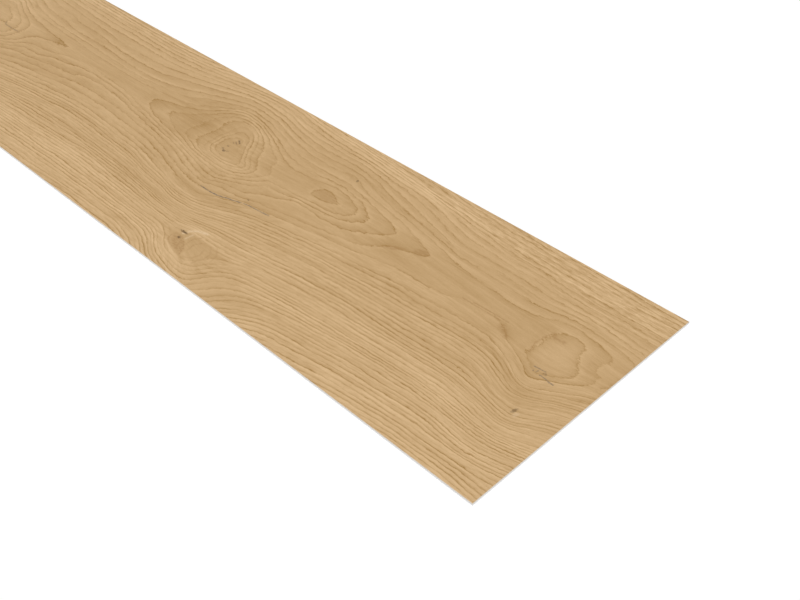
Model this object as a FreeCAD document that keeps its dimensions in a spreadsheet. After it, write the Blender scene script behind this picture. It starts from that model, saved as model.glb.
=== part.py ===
"""A wide resilient floor plank: one thin board with a printed oak face and square, lightly eased sides.

The plank is one piece of stock. It lies on its back, with its length along X and its width along Y, and its
origin is the centre of its back. The back is the face that is glued down, and the four sides butt against the
planks beside it.
"""

import FreeCAD, Part
import Sketcher
import os

PARTS_FOLDER = "parts"

# Driving dimensions, in millimetres: the cell's alias, its value and what it measures.
DIMENSIONS = (
    ("plank_length", 1219.2, "overall length, from square end to square end"),
    ("plank_width", 228.6, "overall width, from long side to long side"),
    ("plank_gauge", 2.0, "thickness, from the back to the worn face"),
    ("arris_ease", 0.2, "size of the 45 degree ease round the worn face"),
)

# How far, in millimetres, a face may lie from the level it is looked for at.
LEVEL_TOLERANCE = 1e-6


def make_sheet(document):
    """The spreadsheet that holds every driving dimension under its alias."""
    sheet = document.addObject("Spreadsheet::Sheet", "sizes")
    for row, (alias, value, meaning) in enumerate(DIMENSIONS, start=1):
        sheet.set(f"A{row}", alias)
        sheet.set(f"B{row}", str(value))
        sheet.setAlias(f"B{row}", alias)
        sheet.set(f"C{row}", meaning)
    document.recompute()
    return sheet


def origin_plane(body, role):
    """One of a body's own origin planes, found by its role."""
    return next(feature for feature in body.Origin.OriginFeatures if feature.Role == role)


def draw_outline(body):
    """The plank's back: a rectangle centred on the origin, as long and as wide as the sheet says."""
    sketch = body.newObject("Sketcher::SketchObject", "outline")
    sketch.AttachmentSupport = (origin_plane(body, "XY_Plane"), [""])
    sketch.MapMode = "FlatFace"

    # The corners only start the rectangle off: the constraints set where they end up.
    corners = [FreeCAD.Vector(x, y, 0) for x, y in ((-1, -1), (1, -1), (1, 1), (-1, 1))]
    for start, end in zip(corners, corners[1:] + corners[:1]):
        sketch.addGeometry(Part.LineSegment(start, end), False)
    front, right, back, left = range(4)
    line_start, line_end = 1, 2
    root, root_point = -1, 1

    for side, following in ((front, right), (right, back), (back, left), (left, front)):
        sketch.addConstraint(Sketcher.Constraint("Coincident", side, line_end, following, line_start))
    for side in (front, back):
        sketch.addConstraint(Sketcher.Constraint("Horizontal", side))
    for side in (right, left):
        sketch.addConstraint(Sketcher.Constraint("Vertical", side))
    sketch.addConstraint(
        Sketcher.Constraint("Symmetric", front, line_start, back, line_start, root, root_point)
    )
    for side, size in ((front, "plank_length"), (right, "plank_width")):
        starting_size = 2.0
        index = sketch.addConstraint(Sketcher.Constraint("Distance", side, starting_size))
        sketch.renameConstraint(index, size)
        sketch.setExpression(f"Constraints.{size}", f"sizes.{size}")
    return sketch


def face_at(shape, level):
    """The name of the flat face whose plane is at this height."""
    for number, face in enumerate(shape.Faces, start=1):
        box = face.BoundBox
        if abs(box.ZMin - level) < LEVEL_TOLERANCE and abs(box.ZMax - level) < LEVEL_TOLERANCE:
            return f"Face{number}"
    raise RuntimeError(f"no flat face at {level} mm")


def make_floor_plank(document, sheet):
    """The plank: its outline padded to the gauge, then eased along the four top arrises."""
    body = document.addObject("PartDesign::Body", "floor_plank")
    body.Label = "floor_plank"
    outline = draw_outline(body)

    board = body.newObject("PartDesign::Pad", "board")
    board.Profile = outline
    board.setExpression("Length", "sizes.plank_gauge")
    document.recompute()

    ease = body.newObject("PartDesign::Chamfer", "top_ease")
    ease.Base = (board, [face_at(board.Shape, sheet.plank_gauge)])
    ease.setExpression("Size", "sizes.arris_ease")
    document.recompute()
    return body


def check_objects(document):
    """Stops the build if any object of the document failed."""
    for thing in document.Objects:
        failed = {"Invalid", "Error"} & set(thing.State)
        if failed:
            raise RuntimeError(f"{thing.Name} is {', '.join(sorted(failed))}")


def export_bodies(bodies):
    """Checks each body's solid and writes it to a STEP file named after its label."""
    os.makedirs(PARTS_FOLDER, exist_ok=True)
    for body in bodies:
        shape = body.Shape
        if shape.isNull() or not shape.isValid() or len(shape.Solids) != 1:
            raise RuntimeError(f"{body.Label} isn't one valid solid")
        shape.exportStep(os.path.join(PARTS_FOLDER, f"{body.Label}.step"))
        box = shape.BoundBox
        print(
            f"{body.Label}: {box.XLength:.2f} x {box.YLength:.2f} x {box.ZLength:.2f} mm,"
            f" {shape.Volume / 1000:.2f} cm3, {len(shape.Faces)} faces"
        )


def main():
    document = FreeCAD.newDocument("floor_plank")
    sheet = make_sheet(document)
    bodies = [make_floor_plank(document, sheet)]
    document.recompute()
    check_objects(document)
    export_bodies(bodies)


main()
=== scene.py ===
"""A wide resilient floor plank with a printed oak face, lying on its back on a pale floor.

The plank stands for the frame's one solid: the same closed board, with a face fine enough to carry the
grain. The grain is drawn as growth rings are. A smooth field of ring numbers is laid through a few guide
lines, and the face's material draws a ring's edge wherever the field passes a whole number. A second field
follows the fibres, and the streaks and pores run along it.
"""

import math

import bpy
import numpy as np
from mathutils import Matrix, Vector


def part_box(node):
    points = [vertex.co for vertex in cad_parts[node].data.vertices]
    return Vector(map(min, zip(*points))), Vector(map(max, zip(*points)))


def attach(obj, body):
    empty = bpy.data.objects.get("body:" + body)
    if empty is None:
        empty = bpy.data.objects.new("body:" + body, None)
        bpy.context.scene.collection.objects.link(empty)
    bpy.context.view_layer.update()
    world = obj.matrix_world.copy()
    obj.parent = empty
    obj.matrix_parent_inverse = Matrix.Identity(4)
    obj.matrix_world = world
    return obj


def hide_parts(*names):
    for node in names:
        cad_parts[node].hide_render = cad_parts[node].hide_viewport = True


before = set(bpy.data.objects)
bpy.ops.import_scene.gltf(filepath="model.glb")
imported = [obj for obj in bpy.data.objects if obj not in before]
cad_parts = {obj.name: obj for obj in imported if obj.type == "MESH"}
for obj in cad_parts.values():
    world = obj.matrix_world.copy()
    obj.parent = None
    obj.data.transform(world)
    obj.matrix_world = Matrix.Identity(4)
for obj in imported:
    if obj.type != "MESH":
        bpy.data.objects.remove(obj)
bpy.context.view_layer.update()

NODE = "floor_plank"

MM = 0.001
EASE = 0.2 * MM  # size of the 45 degree ease round the face, as on the solid
FACE_CELL = 2.4 * MM  # pitch of the grid of the face

# The square sheet that the looks are baked on, in pixels. From its foot up it holds the face in two strips,
# the back, and the sides in three rows, each of a side with its ease above it.
SHEET = 1024
SHEET_MARGIN = 4
STRIP_HEIGHT = 381
BACK_HEIGHT = 190
SIDE_HEIGHT = 8
EASE_HEIGHT = 3
STRIP_ROWS = (4, 391)
BACK_ROW = 778
FRONT_ROW, REAR_ROW, ENDS_ROW = 975, 990, 1005

# The camera: its place in metres, how it is turned, and its focal length in pixels of an 800 wide image.
CAMERA_PLACE = (0.86056, -0.42582, 0.49984)
CAMERA_DOWN = math.radians(40.496)
CAMERA_TURN = math.radians(45.0)
IMAGE_WIDTH = 800
FOCAL_LENGTH = 1060
SENSOR_WIDTH = 36.0

# The guide lines of the grain. Each is the edge of a growth ring: the ring's number, then points on its
# edge, in millimetres from the right-hand end and from the front side. Rings are counted from the plank's
# core line, about 147 mm from the front side, and they fall below nought in the islands round the knots.
REAR_RINGS = (
    (12, ((0, 219), (60, 221), (110, 223.3), (150, 226), (180, 229))),
    (10, ((0, 211.5), (30, 210.3), (50, 212.3), (70, 213), (110, 215.2), (150, 216), (190, 219.2),
          (230, 223.8), (260, 228))),
    (9, ((0, 206.7), (30, 206), (70, 206.9), (110, 208.8), (150, 210.3), (190, 213.8), (230, 219.2),
         (270, 223.3), (310, 226))),
    (8, ((0, 200.7), (30, 201.5), (60, 202), (90, 203.8), (130, 206), (170, 208.5), (190, 211.5),
         (230, 215.2), (250, 217.5), (290, 221.2), (330, 224.8), (350, 227))),
    (7, ((0, 196), (30, 196.3), (70, 196), (90, 197.6), (110, 200.8), (130, 200.2), (150, 201.5),
         (170, 203.5), (190, 206.2), (210, 209.2), (230, 212), (270, 216), (310, 220), (350, 222.5),
         (380, 226))),
    (7, ((530, 223), (560, 219), (600, 217.5), (650, 218.5), (745, 221), (820, 224), (900, 225),
         (1000, 222), (1100, 219), (1219, 221))),
    (6, ((0, 190), (30, 191), (60, 190.5), (90, 192.2), (110, 195.2), (130, 193.9), (150, 196),
         (170, 198.2), (190, 201.2), (210, 205.5), (230, 208.2), (250, 210.5), (270, 212.8), (290, 214.5),
         (330, 217.8), (350, 218.8), (370, 220), (390, 222.6), (410, 226.2), (430, 229))),
    (5, ((0, 183), (30, 185), (50, 186), (90, 186), (110, 188.7), (130, 187.9), (150, 189.8), (170, 190.3),
         (190, 194), (210, 200.5), (230, 204.5), (250, 207.3), (290, 211), (330, 214.3), (370, 215.8),
         (390, 219.2), (410, 223), (430, 225.2), (450, 224.8), (470, 223), (490, 220.5), (510, 216.9),
         (540, 212.3), (570, 210.2), (600, 209), (650, 210.3), (700, 211.8), (745, 213), (820, 216),
         (900, 217), (1000, 214), (1100, 211), (1219, 212.5))),
    (4, ((0, 176.5), (30, 179.8), (50, 180.3), (90, 180), (110, 181.5), (150, 181.8), (170, 182.5),
         (190, 185.8), (210, 192.2), (230, 198.6), (250, 202.3), (270, 204.4), (290, 207.2), (310, 209),
         (350, 210), (370, 211.5), (390, 214.5), (410, 219), (430, 221), (450, 220.5), (470, 218.3),
         (490, 214.6), (510, 210.8), (530, 207.8), (550, 206), (580, 203.7), (650, 204.3), (690, 205.3),
         (730, 206.2), (759, 208.2), (820, 210), (900, 207), (1000, 200), (1100, 195), (1219, 197))),
    (3, ((0, 171.5), (15, 173), (35, 176.5), (50, 177.8), (70, 175.2), (90, 173.3), (130, 175.8),
         (170, 176), (190, 178.8), (210, 183.8), (230, 189.8), (250, 195.3), (270, 199), (290, 202.7),
         (310, 204.5), (330, 204.2), (370, 206), (390, 208.5), (410, 213.5), (430, 216), (450, 216),
         (470, 213.8), (490, 209.5), (510, 205), (530, 201.8), (550, 199), (567, 196.5), (593, 195.5),
         (650, 197.5), (665, 196.8), (705, 198.2), (745, 200.7), (765, 202.3), (820, 205), (900, 199),
         (1000, 190), (1100, 185), (1219, 185))),
    (2, ((5, 170), (30, 171.5), (50, 172), (70, 169.3), (90, 166.5), (110, 168.2), (150, 168.8),
         (170, 170), (190, 174), (210, 177.5), (230, 180.8), (250, 185.3), (270, 191.5), (290, 195.7),
         (310, 198), (350, 198), (370, 199.5), (390, 203), (410, 206.8), (430, 210.5), (450, 212),
         (470, 209.8), (490, 205.3), (510, 200), (530, 195.3), (550, 190.8), (570, 187), (590, 185),
         (640, 185), (670, 188), (700, 190), (730, 192.5), (770, 195.9), (820, 198), (900, 191),
         (1000, 181), (1100, 176), (1219, 175))),
    (1, ((14, 156), (20, 161.5), (32, 164.5), (57, 167.5), (65, 164.8), (78, 159), (90, 156.3),
         (102, 155.7), (140, 158.8), (172, 164), (192, 169.3), (230, 175.7), (253, 179.7), (283, 189.3),
         (310, 192.7), (330, 191.5), (350, 190.4), (370, 193.2), (390, 197.8), (410, 202.4), (430, 205),
         (450, 206.5), (465, 205), (480, 201), (500, 194.3), (510, 190.8), (530, 186), (550, 181.2),
         (567, 176.5), (617, 174.8), (640, 176.2), (660, 178.5), (680, 179.6), (715, 180.7), (723, 183.2),
         (755, 186.2), (780, 189.3), (820, 190.5), (870, 183), (930, 175), (1000, 168), (1060, 162),
         (1110, 154), (1140, 144))),
)
CORE_RINGS = (
    # The rings that close round the core line.
    (1, ((1140, 144), (1150, 136), (1138, 128), (1105, 120), (1040, 112), (970, 104), (900, 96), (850, 86),
         (815, 78), (785, 75), (750, 77), (720, 83), (705, 88), (690, 93), (672, 96.8), (652, 100.5),
         (640, 101.9), (628, 103.3), (618, 105.6), (600, 107.5), (580, 109), (560, 109.2), (530, 108),
         (500, 106.3), (480, 105), (466, 102), (450, 99), (430, 94), (415, 89.8), (400, 87.4), (385, 86.6),
         (370, 87), (360, 88.8), (350, 92), (341, 95), (335, 96.7), (323, 98), (309, 99.7), (300, 101.7),
         (283, 104.8), (262, 109.3), (250, 111), (240, 112.5), (230, 114.5), (220, 117), (210, 119.5),
         (200, 121.7), (190, 123.8), (155, 125.3), (142, 126.5), (130, 134.5), (105, 137), (92, 132.5),
         (84, 127), (79, 121), (60, 112), (53, 106), (46, 103.5), (38, 106), (28, 112.5), (16, 120.5),
         (11, 126), (10, 133), (17, 140), (21, 146), (17, 150), (14, 156))),
    (0, ((1052, 140), (1045, 133), (1015, 126), (960, 119), (900, 112), (850, 101), (820, 92), (790, 85),
         (760, 85), (730, 91), (713, 97.7), (697, 101.2), (675, 105), (663, 107.2), (650, 109.4),
         (640, 111.1), (627, 112.2), (618, 115), (615, 119), (609, 121.1), (590, 122.5), (580, 122.8),
         (550, 120.8), (540, 119.8), (530, 117), (510, 114.7), (500, 113.2), (480, 110), (460, 107.4),
         (450, 105.5), (433, 101), (421, 98), (410, 94.8), (400, 92.3), (391, 91), (384, 91.4),
         (378, 93.8), (370, 97.5), (360, 98.5), (351, 98.3), (344, 99.5), (338, 101.8), (330, 105),
         (320, 108), (310, 108.8), (300, 110), (290, 112), (280, 114), (262, 118), (250, 121.5),
         (240, 123), (225, 128), (212, 140.5), (200, 143), (190, 147), (181, 153), (186, 155.5),
         (198, 160.2), (222, 168), (252, 173.2), (275, 177.7), (285, 181.5), (293, 186.5), (300, 188),
         (307, 186.5), (315, 183.5), (330, 183), (350, 183.8), (370, 186.2), (390, 191), (410, 197.2),
         (425, 199.8), (441, 200.5), (455, 198.5), (470, 193.5), (490, 186), (510, 178.8), (530, 171),
         (563, 166), (617, 165.8), (643, 167.7), (700, 167.3), (712, 168.6), (718, 171.2), (745, 173.4),
         (760, 174), (768, 175.7), (790, 180), (815, 181), (850, 174), (900, 166), (960, 160), (1010, 154),
         (1040, 147), (1052, 140))),
    (-1, ((957, 141), (945, 131), (900, 120), (860, 110), (820, 98), (785, 90), (755, 90), (730, 96),
          (717, 102), (708, 108), (700, 111), (680, 111.8), (669, 116), (665, 119), (650, 121.1),
          (640, 122.8), (632, 126.1), (625, 128.3), (605, 129.4), (590, 128.9), (560, 127.5), (520, 120.5),
          (490, 116.5), (470, 112.5), (450, 109.3), (430, 105.3), (415, 100.6), (404, 97.3))),
    (-1, ((310, 129), (285, 128), (257, 128.5), (250, 131), (240, 138), (225, 146), (220.5, 152),
          (226, 159.3), (253, 167), (287, 173.8), (300, 175), (350, 175), (370, 178.8), (390, 184.8),
          (410, 191.2), (430, 194.4), (446, 194.8), (460, 191.5), (480, 184.5), (497, 175.7), (510, 166.5),
          (550, 159.3), (580, 158.2), (640, 159), (690, 160.3), (718, 161.4), (745, 163.2), (765, 166.8),
          (775, 168.8), (790, 172.9), (820, 175), (850, 167), (890, 158), (930, 150), (957, 141))),
    (-2, ((450, 114), (480, 118.5), (510, 123.3), (530, 126), (550, 129.5), (570, 132.3), (602, 133.5))),
    (-2, ((345, 126), (325, 128), (295, 133.5), (268, 136.5), (254, 142), (247.5, 149.5), (256, 157.3),
          (270, 164.3), (300, 169.2), (315, 167), (350, 165.3), (362, 167.5), (375, 172), (390, 177.6),
          (400, 182), (410, 185.8), (425, 189.5), (442, 190.3), (453, 187.3), (475, 173), (497, 160),
          (540, 155), (603, 152.3), (640, 153), (690, 156), (725, 157.9), (750, 159.6), (772, 162.6),
          (795, 169), (820, 170), (850, 160), (885, 150), (912, 141), (900, 132), (870, 122), (830, 107),
          (790, 96), (755, 95), (735, 99), (722, 107))),
    (-3, ((303, 133.5), (275, 137), (263, 144), (260, 148), (266, 157), (285, 163), (300, 165),
          (335, 159.5), (355, 160.5), (370, 164.5), (395, 175.6), (410, 180.8), (423, 184.3), (437, 186.2),
          (450, 185), (467, 173), (482, 160.5), (497, 154), (512, 150.5), (519, 147), (524, 144),
          (526, 141), (523, 137), (517, 132), (508, 127.5), (490, 122.8), (450, 117.5), (420, 111.5),
          (400, 108), (385, 106.5), (366, 115), (340, 129.5), (303, 133.5))),
    # The small closed ring inside the tongues.
    (-4, ((281, 149.5), (287, 152.5), (293, 155.5), (303, 157.3), (307, 152), (308, 146), (303, 142.8),
          (292, 143.5), (286, 146), (281, 149.5))),
    # The large knot.
    (-4, ((353, 133), (356, 140), (361, 146), (362, 153), (368, 160), (380, 165), (392, 170.5), (405, 177),
          (418, 181.5), (430, 184), (441, 184), (452, 181), (463, 172), (470, 161), (482, 149),
          (492, 144.5), (496, 142), (491, 138), (480, 129.5), (460, 122.8), (440, 118), (420, 113.8),
          (400, 112.5), (385, 113), (370, 118), (358, 126), (353, 133))),
    (-5, ((366, 131), (369, 136.5), (374, 140), (379, 144.5), (381, 149), (382.5, 154), (387, 158.5),
          (392, 163), (400, 169.5), (407, 174.5), (416, 178.3), (427, 180), (438, 180), (447, 177),
          (453, 172), (457.5, 161), (458.5, 150), (458.5, 142), (461, 134), (455, 125.5), (445, 121.5),
          (432, 117.8), (420, 116), (400, 115.3), (386, 117), (374, 122), (366, 131))),
    (-6, ((371, 130), (372, 133), (376, 137), (384, 141), (387, 146), (390, 150.5), (392, 155), (397, 161),
          (403, 167), (409, 172), (416, 175), (425, 177), (434, 177), (441, 174), (444, 168), (444.5, 160),
          (443, 152), (441.5, 147), (442, 141), (443.5, 136), (443, 131.5), (439, 126), (432, 121.8),
          (425, 119.6), (410, 118.6), (395, 118.8), (385, 120.5), (376, 124.5), (371, 130))),
    (-7, ((376, 130), (381, 134.5), (387, 138), (390, 143), (395, 148.5), (399, 154), (401.5, 159),
          (406, 164), (411, 168), (417, 170), (423, 172), (428, 171), (430, 167), (431, 160), (431.8, 152),
          (431.5, 145), (430.5, 138), (430, 131), (426, 125.2), (420, 122.6), (410, 121.8), (395, 122),
          (385, 123.8), (378, 126.5), (376, 130))),
    (-8, ((382, 129), (385, 134), (390, 138.5), (396, 145), (400, 150), (403, 156), (407, 160.5),
          (412, 163.5), (418, 165.5), (423, 164), (426, 157), (427.6, 150), (427, 142), (426, 136),
          (423.5, 129.5), (418, 125.2), (410, 124.2), (398, 124), (387, 126), (382, 129))),
    (-9, ((393, 130), (394, 134), (397, 138), (401, 141.5), (405, 147), (407, 153), (411, 157), (416, 157),
          (421, 154), (424, 148), (424, 142), (423, 136), (420, 131), (415, 128), (407, 126.6),
          (400, 126.2), (394.5, 127.8), (393, 130))),
    # The pale-eyed knot.
    (0, ((24, 130), (27, 137), (33, 147), (33, 154), (38, 157.5), (46, 158.3), (55, 156), (60, 149),
         (61, 140), (60, 130), (58, 123), (52, 117.5), (44, 116), (31, 118), (26, 123), (24, 130))),
    # The far knot.
    (-3, ((672, 141), (682, 144), (693, 146), (715, 147), (735, 149), (755, 152), (772, 157.5),
          (790, 162.5), (803, 167), (820, 167), (838, 160), (853, 149), (858, 139), (850, 128), (830, 114),
          (805, 104), (775, 98.5), (750, 99.5), (732, 106), (724, 113), (723, 122), (717, 131),
          (703, 134.5), (690, 138.7), (680, 138.5), (672, 141))),
    (-4, ((739, 111), (738.5, 120), (739.5, 129), (745, 141.2), (757, 146.2), (775, 151), (790, 158),
          (806, 162), (820, 157), (830, 147), (833, 136), (828, 124), (815, 113), (795, 105), (770, 101.5),
          (750, 103.5), (739, 111))),
    (-5, ((748, 118), (748, 126), (753, 132.3), (762, 140.1), (780, 147.3), (790, 150.5), (798, 155),
          (807, 156), (817, 150), (821, 140), (819, 129), (808, 119), (790, 111), (768, 108), (752, 111),
          (748, 118))),
    (-6, ((769, 128), (770, 134.6), (778, 140.1), (792, 145.7), (800, 151.2), (805, 149.5), (801, 141),
          (793, 133), (785, 128.5), (776, 126), (769, 128))),
    # Saddles of the core line, where no ring passes.
    (0.5, ((80, 147), (120, 147), (165, 149))),
    (0.35, ((63, 117), (67.5, 125), (69.5, 135), (69, 145), (65, 154))),
    (0.4, ((148, 141), (170, 142), (185, 139), (200, 134.5), (212, 131.5), (221, 125.5))),
    (-3.6, ((316, 148), (346, 146))),
    (-2.5, ((536, 142), (560, 143), (600, 143), (645, 143))),
    # The heart of the large knot.
    (-9.3, ((403, 134), (411, 142), (413, 151))),
)
FRONT_RINGS = (
    # Rings 2 and 3 begin at the crack beside the large knot.
    (2, ((348, 91), (358, 87.5), (364, 83), (369, 80.2), (380, 78.7), (394, 80), (407, 81), (421, 85),
         (430, 87.4), (443, 90.9), (458, 94), (473, 97.3), (500, 98.5), (520, 99.6), (545, 101.3),
         (565, 101), (600, 99.4), (612, 97.8), (624, 95.3), (635, 93), (663, 90), (680, 87.5), (695, 83.7),
         (725, 75.5), (760, 70), (800, 71), (850, 79), (900, 88), (960, 96), (1040, 104), (1120, 112),
         (1219, 120))),
    (3, ((336, 92), (346, 86.4), (353, 82.6), (361, 78.8), (371, 74), (385, 73), (400, 75.5), (410, 78.5),
         (421, 81), (440, 84.7), (460, 88.4), (480, 90.5), (500, 91.7), (520, 92.5), (540, 93.9),
         (555, 94.2), (570, 93.7), (585, 92.5), (608, 90), (633, 86.6), (655, 83.5), (700, 75.5),
         (750, 66.5))),
    (4, ((0, 121.5), (10, 117), (20, 110.5), (38, 99.5), (44, 98.3), (50, 99.8), (56, 104), (62, 108),
         (70, 112), (85, 115.8), (100, 117.3), (140, 116), (155, 113.6), (180, 112.1), (200, 109),
         (215, 108), (240, 105.2), (270, 101), (283, 99.3), (300, 95.5), (320, 91), (327, 86.8), (340, 81),
         (353, 76.5), (366, 72.8), (380, 71), (400, 72.8), (430, 78), (450, 82), (468, 84.7), (500, 87.2),
         (540, 88.9), (560, 89.3), (590, 87.7), (615, 84.7), (640, 81), (700, 70.5), (750, 62.5))),
    (5, ((0, 113), (12, 107.5), (20, 104), (28, 98.5), (36, 95), (44, 94.5), (52, 97), (61, 99.5),
         (70, 104.5), (80, 107.5), (100, 109.5), (120, 108.7), (150, 107.2), (180, 106.4), (200, 103.6),
         (225, 101.4), (240, 100.2), (257, 97), (270, 95), (291, 91.5), (307, 88.2), (317, 85),
         (330, 81.3), (340, 78.5), (346, 75.5), (353, 72.6), (361, 70), (370, 68.8), (388, 68.6),
         (400, 69.8), (421, 73.4), (436, 74.7), (451, 77.6), (465, 80.3), (481, 81.8), (520, 83.4),
         (545, 84.4), (575, 83.8), (600, 81.4), (628, 77.6), (660, 73), (700, 66), (750, 58.5), (790, 57),
         (830, 62), (880, 71), (950, 81), (1040, 91), (1130, 99), (1219, 106))),
    (9, ((0, 101.5), (8, 99.5), (16, 96), (24, 91), (30, 87), (38, 84), (46, 83.5), (54, 86), (62, 90),
         (70, 93), (80, 95.3), (95, 96), (120, 94.5), (140, 92.8), (160, 90.8), (180, 89.8), (210, 88),
         (240, 85), (270, 81), (300, 75.8), (315, 72.3), (330, 68.3), (340, 65), (350, 61.3), (358, 59.7),
         (370, 58.7), (385, 58.2), (400, 60.7), (421, 62.2), (434, 64), (444, 65.9), (460, 67.6),
         (500, 69.2), (520, 70.3), (545, 70.9), (567, 70.5), (597, 68), (620, 65.3), (660, 59.5),
         (710, 52), (760, 46.5), (800, 46.5), (860, 54), (940, 64.5), (1020, 73.5), (1100, 80),
         (1219, 86))),
    (11, ((0, 95), (5, 93.3), (12, 90), (20, 85), (26, 81), (32, 79), (50, 79.3), (60, 82.5), (70, 85.6),
          (80, 87.3), (95, 87.8), (120, 86.5), (160, 83.6), (180, 82), (210, 80), (240, 76.8), (270, 72.3),
          (300, 67))),
    (15, ((0, 79), (5, 77.5), (12, 74), (20, 69.5), (26, 65.8), (32, 64.2), (40, 64.9), (50, 66.6),
          (60, 68.2), (80, 71), (90, 71.2), (120, 69.5), (160, 68.3), (180, 68), (200, 66.3), (240, 62.2),
          (270, 58), (300, 52.5), (315, 51.2), (330, 50.5), (345, 48.5), (360, 46), (390, 46.8), (440, 50),
          (480, 51.3), (500, 51.8), (550, 50.3), (580, 49.3), (620, 47), (680, 42), (760, 34), (820, 34.5),
          (900, 43), (1000, 54.5), (1100, 62), (1219, 67))),
    (18, ((0, 70.5), (6, 68.5), (12, 66), (20, 62.5), (27, 59.8), (33, 58.8), (40, 59.3), (50, 60.8),
          (60, 62.3), (75, 63.8), (90, 64.2), (105, 63.2), (120, 62.4), (140, 61), (160, 59.1),
          (180, 57.8), (210, 55.8), (240, 52.2), (270, 47.5), (285, 44), (300, 41.5), (315, 40.5),
          (325, 41.5), (334, 42.3), (345, 40), (352, 38.8), (390, 39.5), (420, 40.5), (441, 41.3),
          (460, 41.9), (473, 42.8), (500, 43), (520, 42.2), (545, 40.5), (560, 38.6), (600, 37.6),
          (680, 33), (760, 25.5), (820, 26), (900, 35), (1000, 46.5), (1100, 54.5), (1219, 60))),
    (19, ((270, 44), (285, 39.5), (296, 33), (301, 25), (306, 19.5), (314, 17.3), (325, 18.3), (335, 20.3),
          (342, 24), (346, 30), (352, 34), (365, 35.5), (390, 36.3), (420, 37.5), (450, 38.6),
          (480, 39.7))),
    (20, ((0, 61.3), (10, 57.8), (20, 54.6), (25, 53.2), (30, 52.8), (40, 53.6), (48, 54.4), (56, 55.8),
          (70, 56.4), (85, 56.5), (100, 56.1), (120, 54.9), (140, 53.4), (160, 52), (180, 50.5),
          (210, 48.8), (240, 44.8), (270, 41))),
    (21, ((0, 57.5), (10, 54.2), (20, 51.7), (30, 50.6), (40, 50.8), (50, 52), (60, 52.4), (80, 53.2),
          (100, 53), (120, 52))),
    (21, ((270, 37), (280, 33), (287, 26), (293, 17), (300, 11.5), (310, 11), (320, 12.3), (330, 13.4),
          (340, 18), (348, 23.5), (356, 28), (365, 30), (390, 30.8), (420, 31.5), (440, 32.6), (468, 33.4),
          (500, 33.2), (520, 32.4), (540, 31), (577, 31.1), (607, 29.7), (680, 24), (760, 17), (820, 17.5),
          (900, 26.5), (1000, 38.5), (1100, 46.5), (1219, 52.5))),
    (23, ((268, 28.5), (277, 22), (283, 14), (288, 7), (295, 3.2), (305, 3), (315, 5), (330, 7.5),
          (340, 12.5), (350, 18.5), (360, 23.3), (387, 24.3), (415, 24.7), (444, 25), (500, 26.3))),
    (24, ((0, 50.2), (12, 47.6), (20, 46.2), (30, 44.8), (40, 44.4), (50, 45), (60, 46.3), (70, 47.1),
          (85, 47.7), (100, 47), (120, 45.3), (150, 42.8), (180, 40), (195, 38.2), (212, 37), (232, 34),
          (240, 32), (250, 29.8), (260, 26.5), (268, 22), (274, 17.3), (278, 12), (282, 5), (285, 0))),
    (26, ((0, 45.6), (10, 42.7), (20, 40.6), (30, 39.7), (45, 39.9), (60, 40.3), (75, 41.2), (90, 41.3),
          (110, 40.2), (130, 38.8), (150, 37.2), (180, 34.2), (195, 32.5), (210, 30.5), (225, 27.8),
          (238, 24.5), (247, 19.5), (255, 12.5), (261, 6), (266, 0))),
    (25, ((395, 20.3), (450, 20.7), (480, 20.3), (525, 19.4), (545, 18.7), (570, 17.5), (620, 15),
          (680, 10.5), (760, 4.5), (820, 5), (900, 14.5), (1000, 27.5), (1100, 36), (1219, 42))),
    (30, ((0, 34.8), (10, 32.3), (20, 30.3), (30, 29), (40, 29), (50, 30), (60, 30.8), (75, 31.3),
          (90, 31.2), (100, 30.5), (110, 29.3), (120, 28.6), (140, 27.1), (150, 26), (160, 24.3),
          (170, 23.2), (180, 21.7), (200, 19), (215, 15.5), (228, 9.5), (238, 3), (243, 0))),
    (30, ((385, 5), (400, 5.4), (425, 5.5), (444, 5.1), (460, 4.7), (480, 3.4), (500, 1.8), (515, 0))),
    (30, ((925, 0), (950, 4), (1000, 13), (1100, 22), (1219, 28))),
    (31, ((0, 32.3), (10, 29.3), (20, 27.2), (30, 26), (38, 26.2), (50, 27.7), (60, 28.7), (80, 28.2),
          (100, 26.6), (120, 24.8), (150, 21.8), (180, 18.2))),
    (33, ((0, 26.8), (8, 25.2), (15, 23.8), (25, 22.4), (35, 21.5), (45, 21.7), (65, 22.2), (75, 21.8),
          (90, 20.4), (110, 19.3), (120, 18), (150, 15.2), (170, 11.8), (185, 9.5), (200, 7), (210, 4),
          (220, 0))),
    (36, ((0, 12.3), (20, 13), (40, 12.7), (60, 11.8), (88, 10.9), (100, 9.3), (120, 7.2), (135, 5),
          (150, 3), (162, 0))),
    (36, ((1080, 0), (1120, 4), (1219, 11))),
    (39, ((0, 1), (20, 2), (30, 2.6), (50, 2.7), (65, 2.5), (80, 1.5), (95, 0.5))),
)

# The fibres follow the rings outside the core: (ring number, the lane its edge keeps to, in millimetres).
REAR_LANES = {12: 222, 9: 213, 6: 201, 4: 190, 3: 185, 2: 179}
FRONT_LANES = {4: 105, 5: 99, 9: 85, 15: 63, 18: 53, 24: 37, 30: 21, 36: 4}
# Where the front's rings 2 and 3 fade in at the crack, in millimetres from the right-hand end.
LATE_RINGS_BEGIN = (320, 350)
CORE_FIBRES = (
    (164, ((0, 158), (45, 163), (100, 161), (180, 163), (300, 172), (380, 172), (440, 180), (500, 168),
           (600, 158), (720, 160), (800, 166), (900, 158), (1219, 158))),
    (145, ((0, 140), (100, 147), (200, 151), (300, 150), (400, 143), (500, 142), (600, 143), (700, 142),
           (800, 135), (1000, 138), (1219, 138))),
    (126, ((60, 122), (120, 128), (200, 130), (300, 126), (400, 120), (500, 122), (600, 126), (700, 122),
           (780, 108), (900, 118), (1219, 128))),
)

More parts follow.
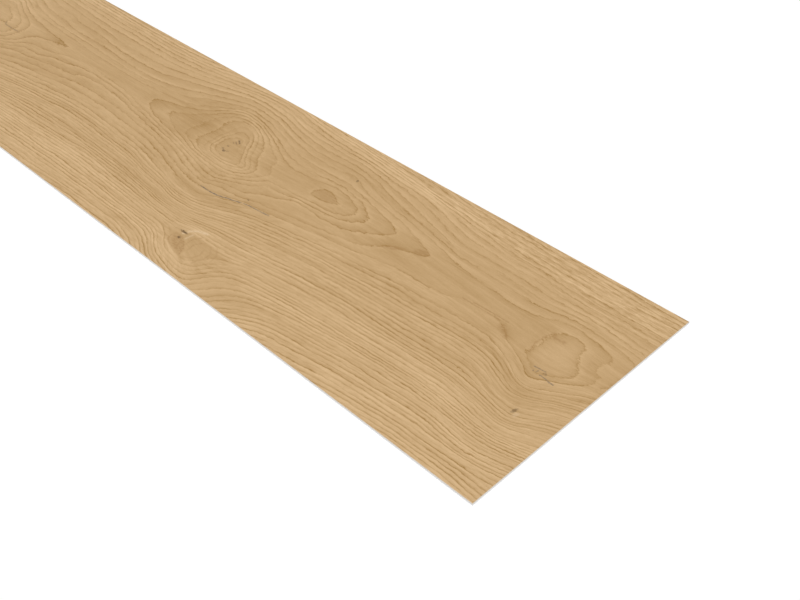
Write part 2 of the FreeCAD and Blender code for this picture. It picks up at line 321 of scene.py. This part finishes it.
# Soft spots on the face: (from the right-hand end, from the front side, half length, half width, amount).
# Where the ring edges are stronger, or weaker, than elsewhere.
ACCENTS = (
    (28, 140, 8, 20, 0.4),
    (17, 148, 6, 12, -0.4),
    (58, 148, 12, 8, 0.3),
    (61, 130, 5, 18, 0.3),
    (44, 157, 18, 5, 0.5),
    (84, 127, 14, 9, 0.3),
    (75, 109, 26, 8, -0.3),
    (112, 135, 24, 7, -0.75),
    (92, 158, 30, 6, 0.6),
    (192, 152, 14, 10, 0.2),
    (222, 134, 30, 10, 0.4),
    (228, 154, 10, 16, 0.7),
    (256, 151, 12, 14, 0.6),
    (296, 151, 20, 9, -0.3),
    (412, 148, 45, 34, -0.2),
    (458, 148, 9, 24, 0.1),
    (515, 140, 22, 12, 0.6),
    (625, 126, 34, 7, 0.9),
    (620, 172, 40, 9, 0.6),
    (635, 137, 35, 5, -1.2),
    (695, 142, 26, 8, 0.7),
    (590, 196, 90, 4, 0.5),
    (600, 204, 110, 4, 0.5),
    (620, 176, 60, 3, 0.5),
    (620, 186, 70, 4, -0.5),
    (520, 188, 40, 12, 0.4),
    (720, 125, 12, 14, 0.5),
    (742, 126, 8, 20, 0.6),
    (45, 16, 60, 18, 0.3),
    (285, 52, 55, 16, -0.45),
    (285, 18, 45, 14, -0.3),
    (300, 205, 90, 15, 0.35),
    (450, 210, 90, 14, 0.35),
    (660, 206, 140, 14, 0.4),
    (326, 30, 22, 13, -0.5),
    (210, 86, 42, 4, 0.3),
    (26, 82, 34, 20, -0.35),
    (425, 112, 48, 9, -0.5),
    (395, 80, 40, 8, -0.3),
    (480, 42, 45, 3, 0.6),
    (490, 33, 28, 3, 0.5),
    (75, 56, 30, 2, 0.5),
)
# Where the wood is darker, or lighter, than elsewhere.
TONES = (
    (462, 155, 42, 46, 0.10),
    (462, 138, 13, 22, 0.05),
    (520, 141, 16, 8, 0.12),
    (692, 142, 18, 8, 0.16),
    (190, 151, 15, 8, 0.08),
    (212, 139, 16, 8, 0.08),
    (298, 152, 13, 6, 0.05),
    (64, 134, 4, 16, 0.10),
    (86, 130, 11, 6, 0.14),
    (62, 108, 20, 14, 0.08),
    (40, 88, 18, 14, 0.08),
    (384, 98, 14, 6, 0.10),
    (334, 29, 13, 9, 0.03),
    (316, 34, 12, 10, 0.03),
    (331, 47, 9, 3, -0.22),
    (640, 124, 40, 4, 0.08),
    (43, 139, 15, 17, -0.13),
    (240, 214, 70, 10, -0.06),
    (440, 206, 85, 16, -0.10),
    (150, 210, 160, 16, -0.025),
    (285, 90, 60, 18, 0.065),
    (440, 95, 70, 14, -0.05),
    (560, 52, 230, 15, 0.07),
    (285, 172, 60, 14, -0.045),
    (40, 214, 60, 12, -0.08),
    (120, 4, 160, 5, -0.06),
    (500, 35, 60, 12, -0.06),
)

# Fine marks of the print, in millimetres as above. Strokes are (colour, strength, half width, points).
STROKES = (
    ("grey", 0.75, 0.5, ((28.5, 111), (32, 110.9), (35, 111.8), (40.5, 112.1))),
    ("grey", 0.6, 0.4, ((39.5, 117.2), (41, 117), (45, 116.8), (49, 116.2))),
    ("grey", 0.5, 0.4, ((44, 115), (44.2, 112.6))),
    ("grey", 0.8, 0.5, ((309, 99.6), (316, 98.8), (330, 97.4), (336, 96.2))),
    ("grey", 0.95, 0.55, ((338, 95.6), (346, 92.6), (351, 91.7), (355, 89.9), (361, 88.2), (372, 87),
                          (381, 87.4))),
    ("brown", 0.5, 0.8, ((740, 123.6), (752, 123), (764, 123.4), (768, 126.4))),
    ("brown", 0.75, 0.8, ((409.3, 150.4), (413.3, 153.2))),
    ("brown", 0.6, 0.6, ((410.3, 147.8), (413.6, 149.8))),
    ("brown", 0.5, 0.5, ((413, 146.8), (415, 148.2))),
    ("brown", 0.55, 0.7, ((406.5, 135.8), (410, 133.8), (414.5, 136))),
    ("warm", 0.55, 1.5, ((49, 148.8), (56, 147.8), (60, 151))),
    ("warm", 0.4, 1.0, ((60, 152), (62.5, 143), (63, 134), (61, 126))),
    ("warm", 0.5, 2.4, ((82, 124.5), (86, 128.5), (91, 132))),
    ("warm", 0.5, 0.6, ((90, 137.6), (104, 137.4), (122, 136.4))),
    ("warm", 0.5, 0.6, ((96, 135.2), (112, 134.8), (131, 134.6))),
    ("warm", 0.6, 0.9, ((318.5, 20), (322, 26), (328, 31), (333, 33.3), (337, 34.4))),
    ("warm", 0.4, 0.8, ((337, 34.4), (342, 34), (343, 30.6), (341, 25.6), (334, 22.8), (326, 21))),
    ("warm", 0.35, 0.7, ((322, 45), (326, 38), (325, 31))),
    ("warm", 0.3, 0.7, ((315, 42), (320, 35), (318, 28))),
    ("warm", 0.25, 0.8, ((309, 36), (306, 30), (308, 23), (314, 20))),
    ("warm", 0.25, 0.8, ((308, 42), (301, 36), (300, 28), (303, 20))),
    ("warm", 0.22, 0.8, ((304, 45), (296, 38), (294, 31))),
    ("pale", 0.75, 1.3, ((323, 50.4), (331, 47.8), (335, 44.5), (336.6, 41.4))),
    ("pale", 0.45, 1.1, ((330.4, 41.5), (330.8, 35))),
)
# Spots are (colour, strength, x, y, half length, half width, turn in degrees).
SPOTS = (
    ("brown", 0.55, 31.5, 75.2, 1.4, 3.1, 18),
    ("pale", 0.35, 28.6, 73.2, 1.6, 3.0, 18),
    ("brown", 0.4, 38.8, 115, 1.7, 1.4, 0),
    ("grey", 0.6, 46.5, 112.6, 0.5, 0.8, 0),
    ("warm", 0.5, 330.5, 27.2, 13, 5.0, 27),
    ("brown", 0.8, 338.6, 39.5, 4.6, 1.2, 0),
    ("brown", 0.8, 340, 39.4, 2.2, 1.4, 0),
    ("brown", 0.7, 336, 32.5, 1.8, 1.4, 0),
    ("pale", 0.6, 337.2, 37.6, 1.8, 0.9, 0),
    ("brown", 0.85, 410.3, 133.8, 1.8, 1.5, 0),
    ("brown", 0.6, 413.5, 141, 1.3, 0.8, 20),
    ("brown", 0.6, 337, 102, 1.3, 0.8, 0),
    ("brown", 0.65, 294, 183.2, 1.0, 1.7, -20),
    ("warm", 0.4, 189, 151, 7, 4.5, -25),
    ("warm", 0.4, 208, 141, 10, 2.6, -32),
    ("warm", 0.25, 296, 150.5, 12, 5, 0),
)


def along_curve(points, step):
    """Points about a step apart on the smooth curve through these: a loop, if it ends where it starts."""
    points = np.array(points, float)
    if np.array_equal(points[0], points[-1]):
        before, after = points[-2], points[1]
    else:
        before, after = 2 * points[0] - points[1], 2 * points[-1] - points[-2]
    knots = np.vstack([before, points, after])
    made = []
    for a, b, c, d in zip(knots, knots[1:], knots[2:], knots[3:]):
        count = max(1, round(float(np.linalg.norm(c - b)) / step))
        for u in np.arange(count) / count:
            square, cube = a - 2.5 * b + 2 * c - d / 2, 1.5 * (b - c) + (d - a) / 2
            made.append(b + u * (c - a) / 2 + u**2 * square + u**3 * cube)
    return np.array(made + [points[-1]])


def plate_kernel(a, b):
    """The thin plate's own curve between each point of a and each of b."""
    squared = (a**2).sum(1)[:, None] + (b**2).sum(1)[None] - 2 * a @ b.T
    squared = np.maximum(squared, 1e-12)
    return squared * np.log(squared)


def thin_plate(lines, places, step=9.0, softness=1.0, unit=10.0):
    """Bends a thin plate through lines of (value, points), and reads its height at each of the places."""
    curves = [along_curve(points, step) for _, points in lines]
    values = np.concatenate([np.full(len(curve), float(value)) for (value, _), curve in zip(lines, curves)])
    pins = np.vstack(curves) / unit
    count = len(pins)
    flat = np.hstack([np.ones((count, 1)), pins])
    system = np.zeros((count + 3, count + 3))
    system[:count, :count] = plate_kernel(pins, pins) + softness * np.eye(count)
    system[:count, count:] = flat
    system[count:, :count] = flat.T
    weights = np.linalg.solve(system, np.concatenate([values, np.zeros(3)]))
    heights = []
    for part in np.array_split(places / unit, 24):
        bent = plate_kernel(part, pins) @ weights[:count]
        heights.append(bent + weights[count] + part @ weights[count + 1:])
    return np.concatenate(heights)


def soft_spots(spots, places):
    """The sum of soft round spots at each of the places."""
    total = np.zeros(len(places))
    for along, across, length, width, amount in spots:
        total += amount * np.exp(-(((places - (along, across)) / (length, width)) ** 2).sum(1))
    return total


class Nodes:
    """Short words for the nodes of a material."""

    def __init__(self, name):
        self.material = bpy.data.materials.new(name)
        self.material.use_nodes = True
        self.tree = self.material.node_tree
        self.tree.nodes.clear()

    def add(self, kind, inputs=(), output=0, **settings):
        """Makes a node with these settings and inputs, and gives back one of its outputs."""
        node = self.tree.nodes.new("ShaderNode" + kind)
        for name, value in settings.items():
            setattr(node, name, value)
        for key, value in dict(inputs).items():
            self.put(node.inputs[key], value)
        return node.outputs[output]

    def put(self, socket, value):
        """Links an output to a socket, or writes a plain value there."""
        if isinstance(value, bpy.types.NodeSocket):
            self.tree.links.new(value, socket)
        else:
            socket.default_value = value

    def finish(self, shader):
        """Shows this shader on the surface."""
        out = self.tree.nodes.new("ShaderNodeOutputMaterial")
        self.put(out.inputs["Surface"], shader)
        return self.material

    def calc(self, operation, a, b=0.0, c=0.0):
        return self.add("Math", {0: a, 1: b, 2: c}, operation=operation)

    def plus(self, *terms):
        total = terms[0]
        for term in terms[1:]:
            total = self.calc("ADD", total, term)
        return total

    def times(self, *factors):
        total = factors[0]
        for factor in factors[1:]:
            total = self.calc("MULTIPLY", total, factor)
        return total

    def less(self, a, b):
        return self.calc("SUBTRACT", a, b)

    def over(self, a, b):
        return self.calc("DIVIDE", a, b)

    def within(self, value, low, high):
        return self.add("Clamp", {0: value, 1: low, 2: high})

    def bell(self, distance, reach):
        """1 at no distance, falling smoothly to about a third at the reach and on to nought."""
        share = self.over(distance, reach)
        return self.calc("EXPONENT", self.times(share, share, -1.0))

    def decay(self, distance, reach):
        """1 at no distance, falling quickly at first to about a third at the reach."""
        return self.calc("EXPONENT", self.times(self.over(distance, reach), -1.0))

    def ramp(self, value, low, high, to_low=0.0, to_high=1.0):
        inputs = {0: value, 1: low, 2: high, 3: to_low, 4: to_high}
        return self.add("MapRange", inputs, interpolation_type="SMOOTHSTEP")

    def vector(self, x, y, z=0.0):
        return self.add("CombineXYZ", {0: x, 1: y, 2: z})

    def arrow(self, operation, a, b, output=0):
        return self.add("VectorMath", {0: a, 1: b}, output, operation=operation)

    def noise(self, place, detail=1.0):
        """Smooth noise about nought, mostly within a quarter of it."""
        inputs = {"Vector": place, "Scale": 1.0, "Detail": detail, "Roughness": 0.5}
        return self.less(self.add("TexNoise", inputs, noise_dimensions="3D"), 0.5)

    def mix(self, share, first, second):
        inputs = {"Factor": share, 6: first, 7: second}
        return self.add("Mix", inputs, output=2, data_type="RGBA")

    def attribute(self, name):
        return self.add("Attribute", output="Fac", attribute_name=name)

    def off_line(self, place, start, end):
        """How far a place is from the straight line between two points."""
        start, end = np.array(start, float), np.array(end, float)
        run = end - start
        away = self.arrow("SUBTRACT", place, (*start, 0.0))
        toward = self.arrow("DOT_PRODUCT", away, (*(run / (run @ run)), 0.0), "Value")
        share = self.within(toward, 0.0, 1.0)
        foot = self.add("VectorMath", {0: (*run, 0.0), "Scale": share}, operation="SCALE")
        return self.arrow("LENGTH", self.arrow("SUBTRACT", away, foot), (0.0, 0.0, 0.0), "Value")

    def size_in_spot(self, place, x, y, length, width, turn):
        """How far out a place is in a turned ellipse: 1 on its edge."""
        away = self.arrow("SUBTRACT", place, (x, y, 0.0))
        cosine, sine = math.cos(turn), math.sin(turn)
        along = self.arrow("DOT_PRODUCT", away, (cosine / length, sine / length, 0.0), "Value")
        across = self.arrow("DOT_PRODUCT", away, (-sine / width, cosine / width, 0.0), "Value")
        return self.calc("SQRT", self.plus(self.times(along, along), self.times(across, across)))


def linear(red, green, blue):
    """A screen colour of 0 to 255 as the shader's linear colour."""
    def channel(value):
        value /= 255
        return value / 12.92 if value <= 0.04045 else ((value + 0.055) / 1.055) ** 2.4
    return (channel(red), channel(green), channel(blue), 1.0)


# The print's colours: its wood, from the lightest to the darkest, and its fine marks.
LIGHT_WOOD = linear(224, 190, 144.5)
DARK_WOOD = linear(151, 112, 49)
MARK_COLOURS = {
    "pale": linear(228, 200, 162),
    "warm": linear(160, 120, 70),
    "brown": linear(92, 70, 42),
    "grey": linear(104, 95, 86),
}
# The vinyl body: the film at the top of its sides, their middle, the painted light at their foot (paler, as
# if lit from the white floor), and the back.
FILM_TAN = linear(220, 208, 192)
SIDE_GREY = linear(238, 234, 230)
PAINTED_FOOT_LIGHT = linear(248, 247, 247)
BACK_GREY = linear(196, 193, 188)


def oak_print():
    """The printed, lightly embossed oak of the face."""
    n = Nodes("oak_print")
    ring, lane, slope, pitch, accent, tone = (
        n.attribute(name) for name in ("ring", "lane", "slope", "pitch", "accent", "tone")
    )
    along, across = n.attribute("along"), n.attribute("across")

    def fibre_noise(length, width, seed):
        """Noise drawn out along the fibres, with features of this length and width in millimetres."""
        return n.noise(n.vector(n.over(along, length), n.over(lane, width), seed))

    def face_noise(length, width, seed):
        """Noise that keeps to the board's own directions."""
        return n.noise(n.vector(n.over(along, length), n.over(across, width), seed))

    # The edge of a ring wanders, is rough, and frays along the fibres where it crosses them. Rings bunch up
    # here and there where there are many.
    crowd = n.ramp(pitch, 3.2, 5.5, 1.0, 0.0)
    bunch = n.times(n.noise(n.vector(n.times(ring, 0.6), n.over(along, 150), 8.8)), crowd, 0.6)
    wander = n.plus(
        n.times(fibre_noise(38, 9, 1.5), 3.2),
        n.times(face_noise(7, 4, 2.2), n.plus(2.8, n.times(crowd, -1.6))),
        n.times(face_noise(2.4, 1.8, 6.3), n.plus(1.8, n.times(crowd, -1.1))),
    )
    fray = n.times(fibre_noise(6, 1.0, 2.5), n.ramp(pitch, 2.0, 14.0, 1.0, 8.0))
    field = n.plus(ring, bunch, n.over(wander, n.calc("MAXIMUM", pitch, 2.2)), n.times(slope, fray))
    inner = n.calc("FRACT", field)
    outward, inward = n.times(inner, pitch), n.times(n.less(1.0, inner), pitch)

    # Dense rings differ from one to the next, and every edge comes and goes along the plank.
    def strength(number):
        own = n.add("TexWhiteNoise", {"W": n.plus(number, 0.37)}, noise_dimensions="1D")
        spot = n.vector(n.over(along, 42), n.times(number, 5.3), 0.7)
        own_share = n.times(n.less(own, 0.5), n.plus(0.25, n.times(crowd, 0.8)))
        varied = n.within(n.plus(0.8, own_share, n.times(n.noise(spot, 2.0), 2.6), accent), 0.15, 1.5)
        late = n.times(n.calc("COMPARE", number, 2.5, 0.7), n.calc("LESS_THAN", across, 130))
        hidden = n.times(late, n.ramp(along, *LATE_RINGS_BEGIN, 1.0, 0.0))
        return n.times(varied, n.less(1.0, hidden))

    above, below = strength(n.calc("CEIL", field)), strength(n.calc("FLOOR", field))
    upper = n.calc("GREATER_THAN", inner, 0.5)
    nearest = n.plus(n.times(above, upper), n.times(below, n.less(1.0, upper)))
    off = n.calc("MINIMUM", outward, inward)
    pores = n.ramp(fibre_noise(4.0, 0.42, 9.5), 0.02, 0.24)
    beads = n.plus(1.0, n.times(face_noise(2.6, 1.1, 4.9), 1.2))
    line = n.times(n.bell(off, n.within(n.times(pitch, 0.17), 0.52, 0.8)), nearest, beads)
    shade_reach = n.within(n.times(pitch, 0.26), 0.5, 3.2)
    shade = n.times(n.decay(inward, shade_reach), above, n.plus(0.7, n.times(pores, 0.7)))
    glow = n.times(n.decay(outward, n.within(n.times(pitch, 0.30), 0.6, 2.4)), below)
    contrast = n.ramp(pitch, 3.0, 7.0, 1.1, 0.62)

    # Slow tones along the board, and streaks and pores along the fibres.
    rear = n.ramp(lane, 194, 214)
    busy = n.plus(n.ramp(pitch, 3.2, 8.0, 0.75, 0.38), n.times(rear, 0.6))
    middle = n.times(n.ramp(lane, 40, 92), n.ramp(lane, 172, 208, 1.0, 0.0))
    bands = n.plus(n.times(fibre_noise(240, 12, 5.5), 0.26), n.times(fibre_noise(80, 4, 6.5), 0.24))
    streaks = n.plus(
        n.times(fibre_noise(26, 1.9, 7.5), 0.42),
        n.times(fibre_noise(9, 1.1, 8.5), 0.42),
        n.times(fibre_noise(5, 0.4, 3.5), 0.3),
    )
    speckle = n.times(face_noise(1.3, 0.9, 0.9), 0.16)
    ripple = n.times(n.plus(fibre_noise(22, 1.5, 1.9), fibre_noise(7, 0.7, 2.7)), rear, 0.42)
    darkness = n.plus(
        0.36,
        n.times(middle, 0.08),
        n.times(crowd, -0.10),
        n.times(contrast, n.plus(n.times(line, 0.24), n.times(shade, 0.27), n.times(glow, -0.26))),
        n.times(pores, busy, 0.10),
        n.times(bands, -1.0),
        n.times(streaks, busy),
        ripple,
        speckle,
        tone,
    )
    colour = n.mix(n.within(darkness, -0.25, 1.4), LIGHT_WOOD, DARK_WOOD)

    # The fine marks, a little unsteady.
    jitter = n.vector(n.times(face_noise(1.6, 1.6, 3.1), 1.5), n.times(face_noise(1.6, 1.6, 7.1), 1.5))
    spot = n.arrow("ADD", n.vector(along, across), jitter)
    broken = n.ramp(face_noise(2.2, 1.0, 5.7), -0.16, 0.04, 0.45, 1.0)
    marks = {name: 0.0 for name in MARK_COLOURS}
    for name, amount, half_width, points in STROKES:
        for start, end in zip(points, points[1:]):
            mask = n.times(n.bell(n.off_line(spot, start, end), half_width), amount)
            marks[name] = n.calc("MAXIMUM", marks[name], mask)
    for name, amount, x, y, length, width, turn in SPOTS:
        size = n.size_in_spot(spot, x, y, length, width, math.radians(turn))
        marks[name] = n.calc("MAXIMUM", marks[name], n.ramp(size, 0.6, 1.25, amount, 0.0))
    for name in MARK_COLOURS:
        colour = n.mix(n.times(marks[name], broken), colour, MARK_COLOURS[name])

    depth = n.plus(n.times(pores, -0.5), n.times(streaks, -1.0))
    bump = n.add("Bump", {"Strength": 0.3, "Distance": 0.00008, "Height": depth})
    roughness = n.plus(0.56, n.times(line, 0.05), n.times(pores, 0.08))
    shader = n.add(
        "BsdfPrincipled",
        {"Base Color": colour, "Roughness": roughness, "Specular IOR Level": 0.2, "Normal": bump},
    )
    return n.finish(shader)


def plain_vinyl(name, grain, gauge=None):
    """The plank's filled vinyl body, on its back or, given the plank's gauge, on its cut sides, which also
    get painted light: paler towards their foot, as if lit from the white floor.
    """
    n = Nodes(name)
    place = n.add("TexCoord", output="Object")
    colour = BACK_GREY
    if gauge:
        height = n.over(n.add("SeparateXYZ", {0: place}, output=2), gauge)
        upper = n.mix(n.ramp(height, 0.72, 0.92), SIDE_GREY, FILM_TAN)
        # Painted light: each side turns paler towards its foot, as if lit from the white floor.
        colour = n.mix(n.ramp(height, 0.2, 0.6, 1.0, 0.0), upper, PAINTED_FOOT_LIGHT)
    fine = n.add("TexNoise", {"Vector": place, "Scale": 1 / (grain * MM), "Detail": 3.0})
    shaded = n.ramp(fine, 0.3, 0.7, 0.93, 1.0)
    bump = n.add("Bump", {"Strength": 0.3, "Distance": 0.00005, "Height": fine})
    shader = n.add(
        "BsdfPrincipled",
        {
            "Base Color": n.add("HueSaturation", {"Value": shaded, "Color": colour}),
            "Roughness": n.ramp(fine, 0.3, 0.7, 0.7, 0.6),
            "Specular IOR Level": 0.3,
            "Normal": bump,
        },
    )
    return n.finish(shader)


def make_plank():
    """The plank's closed board, with the fields of the grain on its face."""
    low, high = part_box(NODE)
    columns = round((high.x - low.x) / FACE_CELL)
    rows = round((high.y - low.y) / FACE_CELL)
    x = np.linspace(low.x + EASE, high.x - EASE, columns + 1)
    y = np.linspace(low.y + EASE, high.y - EASE, rows + 1)
    face = np.stack([axis.ravel() for axis in np.meshgrid(x, y)], 1)
    number = np.arange(len(face)).reshape(rows + 1, columns + 1)
    rim = np.concatenate([number[0, :-1], number[:-1, -1], number[-1, :0:-1], number[:0:-1, 0]])

    # Under the rim of the face come the foot of its ease and the foot of the side.
    edge_of_face = np.array([high.x - EASE, high.y - EASE]) - 0.01 * EASE
    outward = np.where(np.abs(face[rim]) > edge_of_face, np.sign(face[rim]) * EASE, 0.0)
    side = face[rim] + outward
    levels = ((face, high.z), (side, high.z - EASE), (side, low.z))
    corners = np.vstack([np.insert(xy, 2, z, axis=1) for xy, z in levels])

    cells = np.stack([number[:-1, :-1], number[:-1, 1:], number[1:, 1:], number[1:, :-1]], 2).reshape(-1, 4)
    eased = len(face) + np.arange(len(rim))
    foot = eased + len(rim)
    faces = cells.tolist()
    for upper, lower in ((rim, eased), (eased, foot)):
        faces += np.stack([lower, np.roll(lower, -1), np.roll(upper, -1), upper], 1).tolist()
    faces.append(foot[::-1].tolist())

    mesh = bpy.data.meshes.new("oak_plank")
    mesh.from_pydata(corners.tolist(), [], faces)
    mesh.update()
    lay_grain(mesh, face, (rows + 1, columns + 1), low, high)
    lay_bake_map(mesh, corners, cells, columns, rows)
    slots = np.ones(len(faces), np.int32)
    slots[:len(cells)] = 0
    slots[-1] = 2
    mesh.polygons.foreach_set("material_index", slots)
    mesh.materials.append(oak_print())
    mesh.materials.append(plain_vinyl("vinyl_side_with_painted_light", 0.8, high.z - low.z))
    mesh.materials.append(plain_vinyl("vinyl_back", 1.6))

    plank = bpy.data.objects.new("oak_plank", mesh)
    bpy.context.collection.objects.link(plank)
    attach(plank, "root")
    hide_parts(NODE)
    return plank


def lay_grain(mesh, face, shape, low, high):
    """Writes the fields of the grain on the corners of the face, which come first in the mesh."""
    places = np.stack([high.x - face[:, 0], face[:, 1] - low.y], 1) / MM
    fibres = [(REAR_LANES[number], points) for number, points in REAR_RINGS if number in REAR_LANES]
    fibres += [(FRONT_LANES[number], points) for number, points in FRONT_RINGS if number in FRONT_LANES]
    ring = thin_plate(REAR_RINGS + CORE_RINGS + FRONT_RINGS, places).reshape(shape)
    lane = thin_plate([*fibres, *CORE_FIBRES], places, softness=3.0).reshape(shape)

    # The corners run away from the front side row by row, and toward the right-hand end along each row.
    across, along = places[:, 1].reshape(shape)[:, 0], places[:, 0].reshape(shape)[0]
    ring_across, ring_along = np.gradient(ring, across, along)
    lane_across, lane_along = np.gradient(lane, across, along)
    slope = ring_along - ring_across * lane_along / np.maximum(lane_across, 0.2)
    fields = {
        "ring": ring,
        "lane": lane,
        "slope": slope,
        "pitch": 1 / np.maximum(np.hypot(ring_along, ring_across), 1 / 30),
        "accent": soft_spots(ACCENTS, places),
        "tone": soft_spots(TONES, places),
        "along": places[:, 0],
        "across": places[:, 1],
    }
    for name, values in fields.items():
        filled = np.zeros(len(mesh.vertices), np.float32)
        filled[:len(face)] = values.ravel()
        mesh.attributes.new(name, "FLOAT", "POINT").data.foreach_set("value", filled)


def lay_bake_map(mesh, corners, cells, columns, rows):
    """Gives each face of the plank its own place on the sheet that its looks are baked on."""
    width = SHEET - 2 * SHEET_MARGIN

    def share(values):
        return (values - values.min()) / (values.max() - values.min())

    # The face is cut across at its middle column.
    along, across = share(corners[:, 0]), share(corners[:, 1])
    half = columns // 2
    second = (np.arange(len(cells)) % columns >= half)[:, None]
    cut = along[cells[half, 0]]
    u = SHEET_MARGIN + (along[cells] - np.where(second, cut, 0.0)) * 2 * width
    v = np.where(second, STRIP_ROWS[1], STRIP_ROWS[0]) + across[cells] * STRIP_HEIGHT
    places = [np.stack([u, v], 2).reshape(-1, 2)]

    # The sides follow the rim: front, right-hand end, rear, left-hand end. The ends share a row.
    left_end = 3 * SHEET_MARGIN + width * rows / columns
    sides = (
        (columns, SHEET_MARGIN, FRONT_ROW),
        (rows, SHEET_MARGIN, ENDS_ROW),
        (columns, SHEET_MARGIN, REAR_ROW),
        (rows, left_end, ENDS_ROW),
    )
    for foot, top in ((SIDE_HEIGHT, SIDE_HEIGHT + EASE_HEIGHT), (0, SIDE_HEIGHT)):
        for count, start, row in sides:
            begin = start + np.arange(count) * width / columns
            end = begin + width / columns
            lower, upper = np.full(count, row + foot), np.full(count, row + top)
            loop = ((begin, lower), (end, lower), (end, upper), (begin, upper))
            places.append(np.stack([np.stack(corner, 1) for corner in loop], 1).reshape(-1, 2))

    back = corners[-2 * (columns + rows):][::-1]
    u, v = share(back[:, 0]) * width, share(back[:, 1]) * BACK_HEIGHT
    places.append(np.stack([SHEET_MARGIN + u, BACK_ROW + v], 1))
    chart = mesh.uv_layers.new(name="OFBake")
    chart.data.foreach_set("uv", (np.vstack(places) / SHEET).ravel())


def make_floor():
    """A pale floor that keeps the plank's shadow and shows white to the camera where nothing shades it."""
    n = Nodes("floor")
    path = n.tree.nodes.new("ShaderNodeLightPath")
    seen = (path.outputs[kind] for kind in ("Is Camera Ray", "Is Glossy Ray", "Is Transmission Ray"))
    lift = n.calc("MINIMUM", n.plus(*seen), 1.0)
    diffuse = n.add("BsdfDiffuse", {"Color": (0.8, 0.8, 0.8, 1.0)})
    white = n.add("Emission", {"Color": (1.0, 1.0, 1.0, 1.0), "Strength": n.times(lift, 0.25)})
    material = n.finish(n.add("AddShader", {0: diffuse, 1: white}))

    half = 15.0
    drop = 0.05 * MM
    mesh = bpy.data.meshes.new("floor")
    corners = [(-half, -half, -drop), (half, -half, -drop), (half, half, -drop), (-half, half, -drop)]
    mesh.from_pydata(corners, [], [(0, 1, 2, 3)])
    mesh.materials.append(material)
    floor = bpy.data.objects.new("floor", mesh)
    bpy.context.collection.objects.link(floor)


def make_lights():
    """An even pale sky and one soft lamp from the camera's side, which light the face at a plain level."""
    world = bpy.data.worlds.new("studio")
    world.use_nodes = True
    tree = world.node_tree
    tree.nodes.clear()
    path = tree.nodes.new("ShaderNodeLightPath")
    seen = tree.nodes.new("ShaderNodeMath")
    seen.operation = "MAXIMUM"
    tree.links.new(path.outputs["Is Camera Ray"], seen.inputs[0])
    tree.links.new(path.outputs["Is Glossy Ray"], seen.inputs[1])
    level = tree.nodes.new("ShaderNodeMapRange")
    level.inputs["To Min"].default_value = 0.55
    level.inputs["To Max"].default_value = 1.0
    tree.links.new(seen.outputs[0], level.inputs["Value"])
    sky = tree.nodes.new("ShaderNodeBackground")
    sky.inputs["Color"].default_value = (1.0, 1.0, 1.0, 1.0)
    tree.links.new(level.outputs[0], sky.inputs["Strength"])
    out = tree.nodes.new("ShaderNodeOutputWorld")
    tree.links.new(sky.outputs[0], out.inputs["Surface"])
    bpy.context.scene.world = world

    lamp = bpy.data.lights.new("soft_lamp", "SUN")
    lamp.energy = 1.5
    lamp.angle = math.radians(40)
    holder = bpy.data.objects.new("soft_lamp", lamp)
    holder.rotation_euler = (math.radians(32), 0, math.radians(45))
    bpy.context.collection.objects.link(holder)


def make_camera():
    """The photograph's view: from above the right-hand end, turned 45 degrees from the plank's length."""
    data = bpy.data.cameras.new("camera")
    data.sensor_width = SENSOR_WIDTH
    data.lens = FOCAL_LENGTH / IMAGE_WIDTH * SENSOR_WIDTH
    data.clip_start = 0.01
    camera = bpy.data.objects.new("camera", data)
    camera.location = CAMERA_PLACE
    camera.rotation_euler = (math.pi / 2 - CAMERA_DOWN, 0, CAMERA_TURN)
    bpy.context.collection.objects.link(camera)
    bpy.context.scene.camera = camera


make_camera()
make_lights()
make_floor()
make_plank()
bpy.context.scene.view_settings.view_transform = "Standard"
